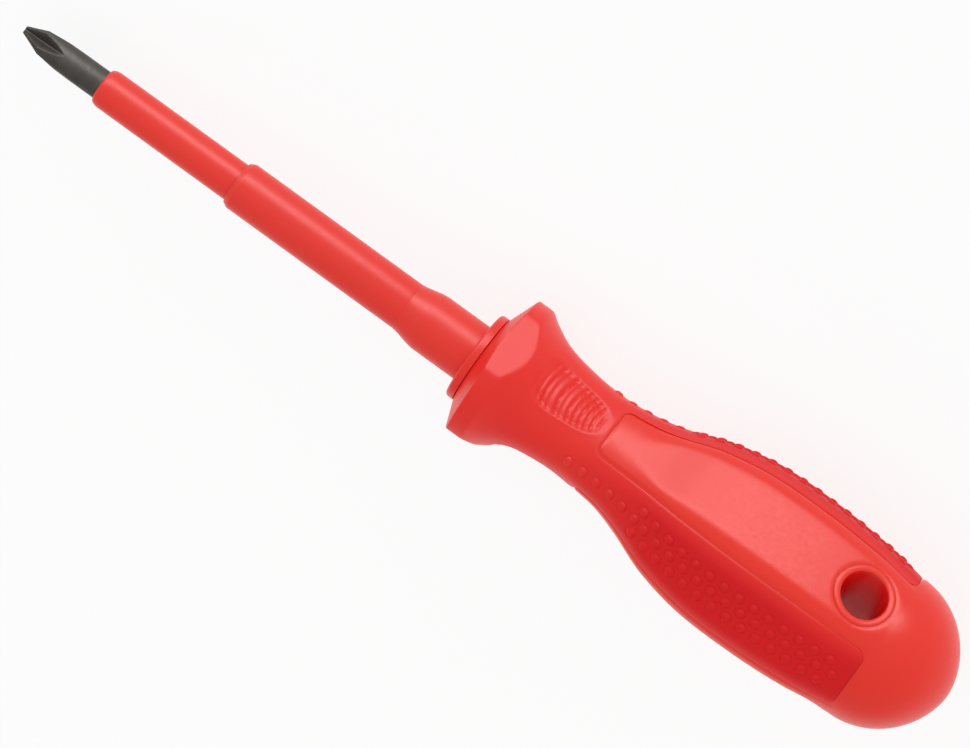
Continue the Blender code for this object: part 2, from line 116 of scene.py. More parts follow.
FACE_ANGLES = tuple(math.radians(a) for a in (30, 150, 270))
EYE_ANGLE = FACE_ANGLES[0]
FACE_START = 0.1364
FACE_HALF_ANGLE = math.radians(32)
FACE_FLATNESS = 0.925
LOBE_FLATNESS = 0.958
LOBE_FRONT_FLATNESS = 0.975
LOBE_REAR_FLATNESS = 0.985
LOBE_FLAT_START = 0.1220
NO_FACE = 1.15
FACE_DEEPEST = 0.1630
FACE_FADE = (0.1944, 0.2094)
LOBE_FADE = 0.1860
FACE_CORNER = 0.0015
TONGUE_END = 0.2000
TONGUE_CORNER = 0.0020
SHORT_TONGUE_END = 0.1844
SOFT_THICKNESS = 0.0022
SHELL_FRONT = 0.1340

THUMB_STATION = 0.1267
THUMB_HALF_LENGTH = 0.0083
THUMB_HALF_ANGLE = math.radians(27)
THUMB_TAPER = 0.12

EYE_STATION = 0.1930
EYE_HOLE_RADIUS = 0.004775
EYE_RING_RADIUS = 0.0061

# ---- sizes of the surface detail ------------------------------------------------------------
SEAM = 0.00005  # half the width of the joint between two mouldings
CREASE = (0.1378, 0.1394)  # where a face begins
FACE_FRONT_FLATNESS = 0.910  # flatter than the CAD model's face, which is up to 0.27 mm further out
EDGE_SHARPNESS = 110  # crisper edges than the CAD model's
GUARD_SHARPNESS = 110
OUTER_SLEEVE_HOLLOW = 0.0006
OUTER_SLEEVE_LIP = 0.00030
OUTER_SLEEVE_CHAMFER = 0.0011
SWELL_LINE_WIDTH = 0.00030  # fine line round the sleeve in front of the swell
SWELL_LINE_REAR = 0.00010
SWELL_LINE_DEPTH = 0.00006
SWELL_EASE = 0.0006
SEAM_DIP = 0.00026
SEAM_DIP_WIDTH = 0.00032
SEAM_FADE = (0.186, 0.198)  # where the rounding beside a joint gets shallower
SEAM_FADE_SHARE = 0.55
FLARE_BEFORE_RIM = 0.55  # slope of the flare's curve where it meets the rim
RIM_BLEND_END = 0.125
GUARD_FLATS_END = (0.1215, 0.1260)
LOBE_FLATS_END = (DOME_START - 0.0004, DOME_START + 0.0020)
PAD_BOTTOM = 0.002
PAD_OVERLAP = 0.0001
PAST_TONGUES = 0.002
EYE_BACK_HALF_WIDTH = 0.0125
EYE_BACK_CORNER = 0.0015
EYE_BACK_BOTTOM = 0.003
EYE_SURFACE = 0.0155  # least distance from the axis of the surface around the hole
EYE_GROOVE_DEPTH = 0.00018
EYE_GROOVE_WIDTH = 0.00030
EYE_LIP_HEIGHT = 0.00030
SLEEVE_LIP = 0.00012
GROUND_EDGE = 0.00003  # rounding of the ground edges of the tip

BUMP_RADIUS = 0.00098
BUMP_HEIGHT = 0.00038
BUMP_ROUNDNESS = 0.6  # 0.5 would be half an ellipsoid
BUMP_MOAT = 0.00013  # depth of the hollow around each bump
BUMP_MOAT_PLACE = 1.12  # in bump radii, as is its width
BUMP_MOAT_WIDTH = 0.22
BUMP_PITCH = 0.00342
NECK_BUMPS = (0.1330, 0.1495, 6)  # first, last, count
MIDDLE_ROW_START = 0.1522
OUTER_ROW_START = 0.1504
ROW_LENGTH = 14
ROW_SPACING = 0.00276

THUMB_BLUNTNESS = 3.0  # 2 would be an ellipse
THUMB_FLOOR = 0.00028
THUMB_BORDER = 0.00004
THUMB_BORDER_PLACE = 1.04
THUMB_BORDER_WIDTH = 0.07
THUMB_EDGE = (0.82, 1.02)  # where the floor of a rest rises to the neck
THUMB_GROOVE = 0.00044
THUMB_GROOVE_WIDTH = 0.00038
THUMB_GROOVE_LEAN = 0.0009  # how far a groove's ends lie behind its middle
# station of each groove across a thumb rest, and its share of the full depth
THUMB_GROOVES = (
    (0.1193, 0.5),
    (0.1206, 0.7),
    (0.1218, 1.0),
    (0.1231, 0.5),
    (0.1247, 1.0),
    (0.1260, 0.5),
    (0.1273, 0.9),
    (0.1286, 0.9),
    (0.1299, 0.9),
    (0.1312, 0.9),
    (0.1325, 0.8),
    (0.1338, 0.6),
)

axis_low, axis_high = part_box("inner_sleeve")
AXIS_HEIGHT = (axis_low.z + axis_high.z) / 2
FAR = 0.025


# ---- camera ---------------------------------------------------------------------------------
CAMERA_ELEVATION = math.radians(54)
TIP_AWAY = math.radians(4)
TOOL_SLOPE = math.radians(35.92)  # how far the tool's line falls from left to right in the view
VIEW_WIDTH = 0.1843
CAMERA_DISTANCE = 1.30
AIM_ALONG = 0.0003
AIM_DOWN = 0.0024


def make_camera():
    level = Vector((0, -math.cos(CAMERA_ELEVATION), math.sin(CAMERA_ELEVATION)))
    towards = level * math.cos(TIP_AWAY) + Vector((-1, 0, 0)) * math.sin(TIP_AWAY)
    along = Vector((-1, 0, 0))
    along = (along - towards * along.dot(towards)).normalized()
    across = towards.cross(along)
    right = along * math.cos(TOOL_SLOPE) + across * math.sin(TOOL_SLOPE)
    up = across * math.cos(TOOL_SLOPE) - along * math.sin(TOOL_SLOPE)
    target = Vector((0, 0, AXIS_HEIGHT)) + right * AIM_ALONG - up * AIM_DOWN
    data = bpy.data.cameras.new("camera")
    data.sensor_width = 36
    data.lens = 36 * CAMERA_DISTANCE / VIEW_WIDTH
    data.clip_start = 0.05
    data.clip_end = 20
    camera = bpy.data.objects.new("camera", data)
    bpy.context.scene.collection.objects.link(camera)
    place = Matrix.Identity(4)
    for row in range(3):
        place[row][0] = right[row]
        place[row][1] = up[row]
        place[row][2] = towards[row]
        place[row][3] = (target + towards * CAMERA_DISTANCE)[row]
    camera.matrix_world = place
    bpy.context.scene.camera = camera


# ---- the handle's surface -------------------------------------------------------------------
def smooth_step(value, low, high):
    """0 below low, 1 above high, with a smooth change between."""
    t = np.clip((value - low) / (high - low), 0, 1)
    return t * t * (3 - 2 * t)


def curve_through(points, x):
    """Cubic curve through (x, y) points, with slopes taken from each point's neighbours."""
    px, py = np.array(points).T
    slope = np.empty_like(py)
    slope[1:-1] = (py[2:] - py[:-2]) / (px[2:] - px[:-2])
    slope[0] = (py[1] - py[0]) / (px[1] - px[0])
    slope[-1] = (py[-1] - py[-2]) / (px[-1] - px[-2])
    i = np.clip(np.searchsorted(px, x, side="right") - 1, 0, len(px) - 2)
    width = px[i + 1] - px[i]
    t = (x - px[i]) / width
    start = (2 * t**3 - 3 * t**2 + 1) * py[i] + (t**3 - 2 * t**2 + t) * width * slope[i]
    end = (3 * t**2 - 2 * t**3) * py[i + 1] + (t**3 - t**2) * width * slope[i + 1]
    return start + end


def softest(*radii, softness=0.00012):
    """The smallest of several radii, with the corners between them rounded."""
    least = np.minimum.reduce(radii)
    total = sum(np.exp((least - r) / softness) for r in radii)
    return least - softness * np.log(total)


def lobe_radius(station):
    """Largest radius of the handle at a station."""
    rise = (RIM_RADIUS - GUARD_FRONT_RADIUS) / (RIM_START - GUARD_FRONT)
    cone = GUARD_FRONT_RADIUS + (station - GUARD_FRONT) * rise
    flare = curve_through(GRIP_OUTLINE, np.clip(station, RIM_END, DOME_START))
    flare = flare + np.maximum(0, RIM_END - station) * FLARE_BEFORE_RIM
    t = np.clip((station - DOME_START) / (TOTAL_LENGTH - DOME_START), 0, 1)
    dome = DOME_RADIUS * (1 - t * t) ** DOME_EXPONENT
    grip = softest(cone, np.full_like(station, RIM_RADIUS), flare)
    return np.where(station < RIM_BLEND_END, grip, np.where(station > DOME_START, dome, flare))


def face_flatness(station):
    """Distance of the faces from the axis, over the lobe radius; above 1 there is no face."""
    begin = smooth_step(station, *CREASE)
    deepen = smooth_step(station, FACE_START, FACE_DEEPEST)
    finish = smooth_step(station, *FACE_FADE)
    flat = FACE_FRONT_FLATNESS + deepen * (FACE_FLATNESS - FACE_FRONT_FLATNESS)
    return flat + (1 - begin) * (NO_FACE - flat) + finish * (NO_FACE - flat)


def lobe_flatness(station):
    """The same for the narrow flats on the lobes, which end with the soft tongues."""
    begin = smooth_step(station, LOBE_FLAT_START, FACE_START)
    deepen = smooth_step(station, FACE_START, FACE_DEEPEST)
    rise = smooth_step(station, LOBE_FADE, DOME_START)
    flat = LOBE_FRONT_FLATNESS + deepen * (LOBE_FLATNESS - LOBE_FRONT_FLATNESS)
    flat = flat + rise * (LOBE_REAR_FLATNESS - flat)
    end = smooth_step(station, *LOBE_FLATS_END)
    return flat + (1 - begin + end) * (NO_FACE - flat)


def from_nearest_face(angle):
    """Angle to the middle of the nearest face, at most 60 degrees either way."""
    third = 2 * math.pi / 3
    return (angle - FACE_ANGLES[0] + third / 2) % third - third / 2


def neck_roundness(station, off_face):
    """Radius of the neck over the lobe radius: a circle drawn in between its three lobes."""
    share = smooth_step(station, *NECK_LOBING_RISE) * (1 - smooth_step(station, *NECK_LOBING_FALL))
    return 1 - NECK_LOBING * share * (1 + np.cos(3 * off_face)) / 2


def section_radius(station, angle):
    """Radius of the handle: a circle softly cut by the faces, the lobe flats and the guard's flats."""
    off_face = from_nearest_face(angle)
    off_lobe = math.pi / 3 - np.abs(off_face)
    lobe = lobe_radius(station)
    face = face_flatness(station) / np.cos(off_face)
    lobe_flat = lobe_flatness(station) / np.cos(off_lobe)
    body = neck_roundness(station, off_face)
    total = body**-EDGE_SHARPNESS + face**-EDGE_SHARPNESS + lobe_flat**-EDGE_SHARPNESS
    radius = lobe * total ** (-1 / EDGE_SHARPNESS)
    guard = GUARD_FLAT_HEIGHT / np.cos(off_face) + smooth_step(station, *GUARD_FLATS_END) * FAR
    ratio = radius / guard
    return radius * (1 + ratio**GUARD_SHARPNESS) ** (-1 / GUARD_SHARPNESS)


def pad_distance(station, off_face):
    """Distance outside the outline of a hard face, along the surface; negative inside it."""
    side = lobe_radius(station) * (np.abs(off_face) - FACE_HALF_ANGLE) + FACE_CORNER
    front = FACE_START - station + FACE_CORNER
    outside = np.hypot(np.maximum(side, 0), np.maximum(front, 0))
    return outside + np.minimum(np.maximum(side, front), 0) - FACE_CORNER


def is_behind_eye(angle):
    """True on the lobe that the back of the hanging hole opens in."""
    return np.cos(angle - EYE_ANGLE) < -0.5


def seam_dip(distance, station):
    """Rounded edge of a moulding beside the joint, shallower towards the butt."""
    fade = 1 - SEAM_FADE_SHARE * smooth_step(station, *SEAM_FADE)
    return SEAM_DIP * fade * np.exp(-((distance / SEAM_DIP_WIDTH) ** 2))


def bump_height(station, angle):
    """Height of the round grip bumps on the lobes."""
    off_face = from_nearest_face(angle)
    off_lobe = np.where(off_face > 0, off_face - math.pi / 3, off_face + math.pi / 3)
    arc = lobe_radius(station) * off_lobe
    first, last, count = NECK_BUMPS
    centres = [(s, 0.0) for s in np.linspace(first, last, count)]
    for n in range(ROW_LENGTH):
        centres.append((MIDDLE_ROW_START + n * BUMP_PITCH, 0.0))
        for side in (-ROW_SPACING, ROW_SPACING):
            centres.append((OUTER_ROW_START + n * BUMP_PITCH, side))
    behind_eye = is_behind_eye(angle)
    height = np.zeros_like(station)
    for centre, side in centres:
        away = ((station - centre) ** 2 + (arc - side) ** 2) / BUMP_RADIUS**2
        bump = BUMP_HEIGHT * np.clip(1 - away, 0, 1) ** BUMP_ROUNDNESS
        bump -= BUMP_MOAT * np.exp(-(((np.sqrt(away) - BUMP_MOAT_PLACE) / BUMP_MOAT_WIDTH) ** 2))
        if centre > SHORT_TONGUE_END - 2 * BUMP_RADIUS:
            bump = np.where(behind_eye, 0, bump)
        height += bump
    return height


def thumb_relief(station, off_face):
    """Ribbed oval rests on the neck: a sunk floor, a raised border and curved grooves."""
    along = (station - THUMB_STATION) / THUMB_HALF_LENGTH
    across = off_face / (THUMB_HALF_ANGLE * (1 - THUMB_TAPER * along))
    power = THUMB_BLUNTNESS
    reach = (np.abs(along) ** power + np.abs(across) ** power) ** (1 / power)
    inside = 1 - smooth_step(reach, *THUMB_EDGE)
    from_border = (reach - THUMB_BORDER_PLACE) / THUMB_BORDER_WIDTH
    relief = -THUMB_FLOOR * inside + THUMB_BORDER * np.exp(-(from_border**2))
    for groove, share in THUMB_GROOVES:
        away = (station - groove - THUMB_GROOVE_LEAN * across**2) / THUMB_GROOVE_WIDTH
        relief = relief - THUMB_GROOVE * share * inside * np.exp(-(away**2))
    return relief


def soft_radius(station, angle):
    off_face = from_nearest_face(angle)
    radius = section_radius(station, angle)
    radius = radius + thumb_relief(station, off_face) * (station < FACE_START)
    to_end = np.where(is_behind_eye(angle), SHORT_TONGUE_END - station, TONGUE_END - station)
    seam = np.minimum(np.maximum(pad_distance(station, off_face), 0), np.maximum(to_end, 0))
    return radius + bump_height(station, angle) - seam_dip(seam, station)


def shell_radius(station, angle):
    off_face = from_nearest_face(angle)
    radius = section_radius(station, angle)
    inside_pad = -pad_distance(station, off_face)
    behind_eye = is_behind_eye(angle)
    past_end = station - np.where(behind_eye, SHORT_TONGUE_END, TONGUE_END)
    seam = np.maximum(np.maximum(inside_pad, past_end), 0)
    off_eye = np.hypot(station - EYE_STATION, radius * np.sin(angle - EYE_ANGLE))
    groove = np.exp(-(((off_eye - EYE_RING_RADIUS) / EYE_GROOVE_WIDTH) ** 2))
    return radius - seam_dip(seam, station) - EYE_GROOVE_DEPTH * groove


def eye_radius(station, angle):
    """Surface of the ring round the hanging hole: a low rounded lip."""
    radius = section_radius(station, angle)
    off_eye = np.hypot(station - EYE_STATION, radius * np.sin(angle - EYE_ANGLE))
    t = np.clip((off_eye - EYE_HOLE_RADIUS) / (EYE_RING_RADIUS - EYE_HOLE_RADIUS), 0, 1)
    lip = EYE_LIP_HEIGHT * np.sqrt(np.clip(1 - (2 * t - 1) ** 2, 0, 1))
    return radius + lip - EYE_GROOVE_DEPTH


# ---- mesh helpers ---------------------------------------------------------------------------
def new_object(name, corners, faces):
    mesh = bpy.data.meshes.new(name)
    mesh.from_pydata(corners, [], faces)
    item = bpy.data.objects.new(name, mesh)
    bpy.context.scene.collection.objects.link(item)
    return item


def ring_mesh(name, stations, radii, angles, closed=False):
    """Rings about the tool's axis joined into a closed body; radii has a row for each ring."""
    rings, count = radii.shape
    s = np.broadcast_to(stations[:, None], radii.shape)
    corners = np.stack(
        [HALF_LENGTH - s, -radii * np.cos(angles), AXIS_HEIGHT + radii * np.sin(angles)], -1
    )
    corners = corners.reshape(-1, 3)
    step = np.arange(rings - 1)[:, None] * count
    here = step + np.arange(count)[None, :]
    beside = step + (np.arange(count)[None, :] + 1) % count
    faces = np.stack([here, beside, beside + count, here + count], -1).reshape(-1, 4).tolist()
    last = (rings - 1) * count
    if closed:
        ring = np.arange(count)
        turn = (ring + 1) % count
        faces += np.stack([last + ring, last + turn, turn, ring], -1).tolist()
    else:
        faces.append(list(range(count))[::-1])
        faces.append([last + i for i in range(count)])
    return new_object(name, corners.tolist(), faces)


def loft(name, stations, angles, radius):
    """Closed body whose surface is radius(station, angle)."""
    s, a = np.meshgrid(stations, angles, indexing="ij")
    return ring_mesh(name, stations, radius(s, a), angles)


def rounded(points, steps=6):
    """(station, radius, rounding) corners as an outline with curved corners."""
    outline = []
    for i, (s, r, rounding) in enumerate(points):
        corner = np.array((s, r))
        if rounding == 0:
            outline.append(corner)
            continue
        before = np.array(points[i - 1][:2]) - corner
        after = np.array(points[(i + 1) % len(points)][:2]) - corner
        start = corner + before / np.linalg.norm(before) * rounding
        end = corner + after / np.linalg.norm(after) * rounding
        for t in np.linspace(0, 1, steps + 1):
            outline.append((1 - t) ** 2 * start + 2 * t * (1 - t) * corner + t * t * end)
    return np.array(outline)


def turned(name, points, closed=True, segments=160):
    """Turned body from (station, radius, rounding) corners."""
    outline = rounded(points)
    angles = np.linspace(0, 2 * math.pi, segments, endpoint=False)
    radii = np.repeat(outline[:, 1:2], segments, axis=1)
    return ring_mesh(name, outline[:, 0], radii, angles, closed)


def frame_point(station, out, side, angle):
    """Row-frame place of a point given along a direction about the axis."""
    y = out * math.cos(angle) - side * math.sin(angle)
    z = out * math.sin(angle) + side * math.cos(angle)
    return (HALF_LENGTH - station, -y, AXIS_HEIGHT + z)


def prism(name, outline, low, high, angle):
    """Outline of (station, side) points, extruded outwards along a direction about the axis."""
    count = len(outline)
    corners = [frame_point(s, h, w, angle) for h in (low, high) for s, w in outline]
    faces = [[i, (i + 1) % count, count + (i + 1) % count, count + i] for i in range(count)]
    faces += [list(range(count))[::-1], [count + i for i in range(count)]]
    return new_object(name, corners, faces)


def eye_cylinder(name, radius, segments=128):
    angles = np.linspace(0, 2 * math.pi, segments, endpoint=False)
    outline = [(EYE_STATION - radius * math.cos(a), radius * math.sin(a)) for a in angles]
    return prism(name, outline, -FAR, FAR, EYE_ANGLE)


def make_solid(item):
    """Turns a closed body's faces outwards."""
    bm = bmesh.new()
    bm.from_mesh(item.data)
    bmesh.ops.recalc_face_normals(bm, faces=bm.faces)
    bm.to_mesh(item.data)
    bm.free()


def apply_cuts(item, cutters, operation="DIFFERENCE"):
    """Cuts the item with each cutter in turn, keeps the result and removes the cutters."""
    for cutter in cutters:
        make_solid(cutter)
        modifier = item.modifiers.new(cutter.name, "BOOLEAN")
        modifier.operation = operation
        modifier.solver = "MANIFOLD"
        modifier.object = cutter
    bpy.context.view_layer.update()
    graph = bpy.context.evaluated_depsgraph_get()
    result = bpy.data.meshes.new_from_object(item.evaluated_get(graph))
    item.modifiers.clear()
    item.data = result
    for cutter in cutters:
        bpy.data.objects.remove(cutter)


def finish_piece(item, material, node, sharp=32):
    mesh = item.data
    mesh.materials.clear()
    mesh.materials.append(material)
    mesh.polygons.foreach_set("material_index", [0] * len(mesh.polygons))
    mesh.shade_smooth()
    mesh.set_sharp_from_angle(angle=math.radians(sharp))
    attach(item, "root")
    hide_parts(node)


def stations_between(*marks):
    """Stations from (end, step) marks: from each end to the next with about that step."""
    stations = [marks[0][0]]
    for (start, _), (end, step) in zip(marks, marks[1:]):
        count = max(1, round((end - start) / step))
        stations += list(np.linspace(start, end, count + 1)[1:])
    return np.array(stations)


def angles_with(lobe_step, face_step, lobe_half=30):
    """Angles round the axis with their own step on the lobes and on the faces, in degrees."""
    angles = []
    for face in FACE_ANGLES:
        middle = math.degrees(face)
        edge = 60 - lobe_half
        angles += list(np.arange(middle - edge, middle + edge, face_step))
        angles += list(np.arange(middle + edge, middle + 120 - edge, lobe_step))
    return np.radians(np.array(angles))


# ---- materials ------------------------------------------------------------------------------
class Nodes:
    """Small helper that adds and links shader nodes."""

    def __init__(self, name):
        self.material = bpy.data.materials.new(name)
        self.material.use_nodes = True
        self.tree = self.material.node_tree
        self.shader = self.tree.nodes["Principled BSDF"]
        self.place = self.add("ShaderNodeTexCoord").outputs["Object"]

    def add(self, kind, **values):
        node = self.tree.nodes.new(kind)
        for key, value in values.items():
            setattr(node, key, value)
        return node

    def link(self, source, target):
        self.tree.links.new(source, target)

    def noise(self, scale, detail=3, stretch=(1, 1, 1)):
        mapping = self.add("ShaderNodeMapping")
        mapping.inputs["Scale"].default_value = stretch
        self.link(self.place, mapping.inputs["Vector"])
        node = self.add("ShaderNodeTexNoise")
        node.inputs["Scale"].default_value = scale
        node.inputs["Detail"].default_value = detail
        self.link(mapping.outputs["Vector"], node.inputs["Vector"])
        return node.outputs["Fac"]

    def ranged(self, source, low, high, start=0.3, end=0.7):
        node = self.add("ShaderNodeMapRange")
        node.inputs["From Min"].default_value = start
        node.inputs["From Max"].default_value = end
        node.inputs["To Min"].default_value = low
        node.inputs["To Max"].default_value = high
        self.link(source, node.inputs["Value"])
        return node.outputs["Result"]

    def mixed(self, factor, first, second):
        node = self.add("ShaderNodeMix", data_type="RGBA")
        for socket, colour in ((6, first), (7, second)):
            if isinstance(colour, tuple):
                node.inputs[socket].default_value = (*colour, 1)
            else:
                self.link(colour, node.inputs[socket])
        self.link(factor, node.inputs[0])
        return node.outputs[2]

    def maths(self, operation, first, second=0.0):
        node = self.add("ShaderNodeMath", operation=operation)
        for socket, value in zip(node.inputs, (first, second)):
            if isinstance(value, float):
                socket.default_value = value
            else:
                self.link(value, socket)
        return node.outputs[0]

    def tool_place(self):
        """Station behind the tip, and the place across the tool's axis, sideways and up."""
        split = self.add("ShaderNodeSeparateXYZ")
        self.link(self.place, split.inputs[0])
        station = self.maths("SUBTRACT", HALF_LENGTH, split.outputs["X"])
        across = self.maths("MULTIPLY", split.outputs["Y"], -1.0)
        up = self.maths("SUBTRACT", split.outputs["Z"], AXIS_HEIGHT)
        return station, across, up

    def from_axis(self, across, up):
        squares = [self.maths("MULTIPLY", value, value) for value in (across, up)]
        return self.maths("SQRT", self.maths("ADD", *squares))

    def bumped(self, heights, distance):
        """Adds one bump after another; heights are (source, strength) pairs."""
        normal = None
        for source, strength in heights:
            bump = self.add("ShaderNodeBump")
            bump.inputs["Strength"].default_value = strength
            bump.inputs["Distance"].default_value = distance
            self.link(source, bump.inputs["Height"])
            if normal is not None:
                self.link(normal, bump.inputs["Normal"])
            normal = bump.outputs["Normal"]
        self.link(normal, self.shader.inputs["Normal"])


def moulded_plastic(name, colour, deeper, roughness, grain=0.35, specular=0.38):
    """Moulded plastic: fine spark-eroded grain, slow flow marks in the colour, small dull spots."""
    nodes = Nodes(name)
    flow = nodes.noise(55, detail=2, stretch=(0.35, 1, 1))
    fine = nodes.noise(5200, detail=2)
    pores = nodes.noise(1500, detail=4)
    base = nodes.mixed(nodes.ranged(flow, 0, 1), colour, deeper)
    nodes.link(base, nodes.shader.inputs["Base Color"])
    dull = nodes.ranged(pores, roughness - 0.05, roughness + 0.06)
    nodes.link(dull, nodes.shader.inputs["Roughness"])
    nodes.shader.inputs["Specular IOR Level"].default_value = specular
    nodes.bumped(((fine, grain), (pores, grain * 0.6)), 0.00002)
    return nodes.material


def ring_plastic(name, colour, inside):
    """Plastic around the hanging hole: like the shell outside, with painted shade down the bore: a deeper
    colour and less gloss there.
    """
    nodes = Nodes(name)
    fine = nodes.noise(5200, detail=2)
    pores = nodes.noise(1500, detail=4)
    _, across, up = nodes.tool_place()
    surface = nodes.ranged(nodes.from_axis(across, up), 0, 1, EYE_SURFACE - 0.0007, EYE_SURFACE)
    # the inside colour down the bore is painted shade
    nodes.link(nodes.mixed(surface, inside, colour), nodes.shader.inputs["Base Color"])
    nodes.link(nodes.ranged(surface, 0.08, 0.38, 0, 1), nodes.shader.inputs["Specular IOR Level"])
    nodes.link(nodes.ranged(pores, 0.31, 0.42), nodes.shader.inputs["Roughness"])
    nodes.bumped(((fine, 0.35), (pores, 0.2)), 0.00002)
    return nodes.material


def soft_rubber(name, colour, deeper, field, field_deeper):
    """Soft grip material: satin, but deeper in colour and matt where the bumps are."""
    nodes = Nodes(name)
    flow = nodes.noise(60, detail=3)
    grain = nodes.noise(3200, detail=4)
    cells = nodes.add("ShaderNodeTexVoronoi")
    cells.inputs["Scale"].default_value = 2600
    nodes.link(nodes.place, cells.inputs["Vector"])
    station, across, up = nodes.tool_place()
    from_lobe = nodes.maths("SUBTRACT", nodes.maths("ARCTAN2", up, across), math.pi / 2)
    waves = nodes.maths("COSINE", nodes.maths("MULTIPLY", from_lobe, 3.0))
    on_lobe = nodes.ranged(waves, 0, 1, 0.02, 0.62)
    behind_neck = nodes.ranged(station, 0, 1, 0.1330, 0.1540)
    in_field = nodes.maths("MULTIPLY", on_lobe, behind_neck)
    shade = nodes.ranged(flow, 0, 1)
    smooth = nodes.mixed(shade, colour, deeper)
    bumpy = nodes.mixed(shade, field, field_deeper)
    nodes.link(nodes.mixed(in_field, smooth, bumpy), nodes.shader.inputs["Base Color"])
    matt = nodes.maths("MULTIPLY", in_field, 0.22)
    nodes.link(nodes.maths("ADD", nodes.ranged(grain, 0.35, 0.43), matt), nodes.shader.inputs["Roughness"])
    nodes.link(nodes.ranged(in_field, 0.34, 0.22, 0, 1), nodes.shader.inputs["Specular IOR Level"])
    nodes.bumped(((cells.outputs["Distance"], 0.22), (grain, 0.30)), 0.00002)
    return nodes.material


def blackened_steel():
    """Ground steel with a dark finish: marks run round the blade, with a few bright scratches; painted shade
    darkens the flutes.
    """
    nodes = Nodes("blackened_steel")
    rings = nodes.noise(900, detail=3, stretch=(6, 0.6, 0.6))
    streaks = nodes.noise(420, detail=4, stretch=(0.25, 3, 3))
    cloud = nodes.noise(260, detail=3)
    bright = nodes.ranged(streaks, 0, 1, 0.62, 0.74)
    dark = nodes.mixed(nodes.ranged(cloud, 0, 1), (0.090, 0.083, 0.075), (0.066, 0.060, 0.055))
    ground = nodes.mixed(bright, dark, (0.15, 0.14, 0.13))
    station, across, up = nodes.tool_place()
    out = nodes.from_axis(across, up)
    body = nodes.ranged(station, TIP_FLAT_RADIUS, TIP_SHOULDER_RADIUS, 0, TIP_CONE_LENGTH)
    # darker colour down in the flutes: painted shade
    sunk = nodes.ranged(nodes.maths("SUBTRACT", body, out), 0, 1, 0.0001, 0.0008)
    base = nodes.mixed(sunk, ground, (0.062, 0.054, 0.049))
    nodes.link(base, nodes.shader.inputs["Base Color"])
    nodes.shader.inputs["Metallic"].default_value = 0.85
    nodes.link(nodes.ranged(rings, 0.44, 0.60), nodes.shader.inputs["Roughness"])
    nodes.bumped(((rings, 0.30), (streaks, 0.12)), 0.00002)
    return nodes.material


def pale_floor():
    """Pale sheet that glows a little, so that it takes on little red from the tool."""
    nodes = Nodes("studio_floor")
    cloud = nodes.noise(6, detail=2)
    base = nodes.mixed(cloud, (0.15, 0.15, 0.15), (0.17, 0.17, 0.17))
    nodes.link(base, nodes.shader.inputs["Base Color"])
    nodes.shader.inputs["Emission Color"].default_value = (1, 1, 1, 1)
    nodes.shader.inputs["Emission Strength"].default_value = 0.84
    nodes.shader.inputs["Roughness"].default_value = 0.85
    nodes.shader.inputs["Specular IOR Level"].default_value = 0.2
    return nodes.material


# ---- blade ----------------------------------------------------------------------------------
def blade_radius(station, angle):
    """Ground cone and shank, cut by four V flutes."""
    outline = (
        (0, TIP_FLAT_RADIUS),
        (TIP_CONE_LENGTH, TIP_SHOULDER_RADIUS),
        (GROUND_LENGTH, BLADE_RADIUS),
        (TOTAL_LENGTH, BLADE_RADIUS),
    )
    body = np.interp(station, *zip(*outline))
    t = np.clip(station / FLUTE_LENGTH, 0, 1.2)
    rise = FLUTE_EVEN_RISE * t + (1 - FLUTE_EVEN_RISE) * t**3
    root = FLUTE_ROOT_AT_TIP + (BLADE_RADIUS - FLUTE_ROOT_AT_TIP) * rise
    quarter = math.pi / 2
    off = np.abs((angle - FIRST_FLUTE + quarter / 2) % quarter - quarter / 2)
    slope = math.tan(FLUTE_ANGLE)
    opening = np.maximum(slope * np.cos(off) - np.sin(off), 0.02)
    wall = (root * slope - FLUTE_FLOOR_HALF_WIDTH) / opening
    groove = np.maximum(wall, root / np.cos(off))
    return softest(body, groove, softness=GROUND_EDGE)


def build_blade():
    stations = stations_between(
        (0, 0), (0.0125, 0.00010), (INNER_SLEEVE_START, 0.0008), (BLADE_END, 0.02)
    )
    angles = np.linspace(0, 2 * math.pi, 288, endpoint=False)
    blade = loft("blade_steel", stations, angles, blade_radius)
    finish_piece(blade, blackened_steel(), "blade", sharp=50)


# ---- sleeves and collar ---------------------------------------------------------------------
def build_inner_sleeve(material):
    bore = BLADE_RADIUS + 2 * SEAM
    nose = [(INNER_SLEEVE_START, bore, 0)]
    for t in np.linspace(0, math.pi / 2, 14):
        station = INNER_SLEEVE_START + INNER_SLEEVE_NOSE * (1 - math.cos(t))
        radius = bore + SLEEVE_LIP + (INNER_SLEEVE_RADIUS - bore - SLEEVE_LIP) * math.sin(t)
        nose.append((station, radius, 0))
    body = [(INNER_SLEEVE_END, INNER_SLEEVE_RADIUS, 0), (INNER_SLEEVE_END, bore, 0)]
    sleeve = turned("inner_sleeve_moulding", nose + body)
    finish_piece(sleeve, material, "inner_sleeve")


